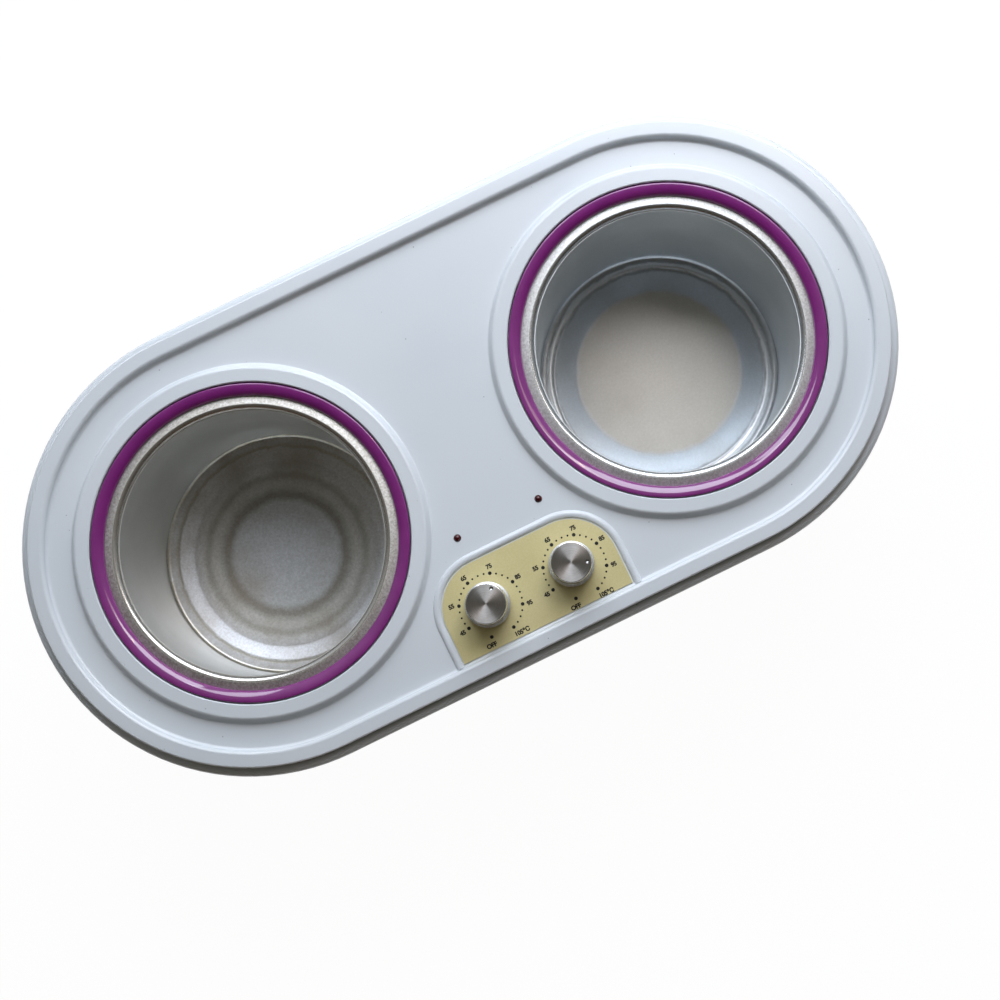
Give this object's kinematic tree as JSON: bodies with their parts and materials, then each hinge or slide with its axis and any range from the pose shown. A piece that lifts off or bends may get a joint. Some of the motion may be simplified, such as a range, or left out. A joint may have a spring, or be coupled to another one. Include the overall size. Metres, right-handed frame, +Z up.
{
  "type": "double wax heater",
  "caption": "Countertop wax heater: a long round-ended body with aluminium wells side by side, soft rims, a control panel with turning dial knobs, and pilot lamps.",
  "frame": {"origin": "on the table under the middle of the body, at the level of the undersides of the feet", "axes": "+X along the body through both wells, -Y towards the side with the control panel, +Z up"},
  "size_m": [0.373, 0.187, 0.135],
  "materials": {
    "housing_plastic": "glossy moulded ABS",
    "cover_plastic": "glossy moulded ABS",
    "panel_lacquer": "satin champagne gold lacquer with printed dials",
    "well_aluminium": "drawn, lightly blasted rim and satin inside",
    "ring_plastic": "glossy purple",
    "plated_steel": "zinc plated",
    "band_steel": "aluminised sheet",
    "ceramic_felt": "matte felt",
    "copper": "drawn tube",
    "black_plastic": "moulded phenolic",
    "spindle_brass": "turned",
    "knob_aluminium": "spun top, polished chamfer",
    "lamp_lens": "dark red clear lens",
    "board": "circuit board",
    "terminal_nylon": "moulded nylon",
    "black_rubber": "moulded rubber"
  },
  "bodies": {
    "body": {"lower_housing": "housing_plastic", "top_cover": "cover_plastic", "control_panel": "panel_lacquer", "left_well": "well_aluminium", "right_well": "well_aluminium", "left_ring": "ring_plastic", "right_ring": "ring_plastic", "well_nuts": "plated_steel", "left_heater_band": "band_steel", "right_heater_band": "band_steel", "band_screws": "plated_steel", "left_insulation": "ceramic_felt", "right_insulation": "ceramic_felt", "left_sensor": "copper", "right_sensor": "copper", "left_cutout": "black_plastic", "right_cutout": "black_plastic", "cutout_nuts": "plated_steel", "left_thermostat": "black_plastic", "right_thermostat": "black_plastic", "thermostat_screws": "plated_steel", "left_lamp": "lamp_lens", "right_lamp": "lamp_lens", "lamp_board": "board", "lamp_board_screws": "plated_steel", "heat_shield": "band_steel", "shield_screws": "plated_steel", "terminal_block": "terminal_nylon", "terminal_screws": "spindle_brass", "cord_gland": "black_rubber", "feet": "black_rubber", "housing_screws": "plated_steel"},
    "left_dial": {"left_knob": "knob_aluminium", "left_spindle": "spindle_brass"},
    "right_dial": {"right_knob": "knob_aluminium", "right_spindle": "spindle_brass"}
  },
  "joints": [
    {"name": "left_dial_turn", "type": "hinge", "parent": "body", "child": "left_dial", "pos_m": [-0.0185, -0.0643, 0.121], "axis": [0, 0, -1], "range_deg": [-201.3, 114.3]},
    {"name": "right_dial_turn", "type": "hinge", "parent": "body", "child": "right_dial", "pos_m": [0.0185, -0.0643, 0.121], "axis": [0, 0, -1], "range_deg": [-269, 46.6]}
  ]
}
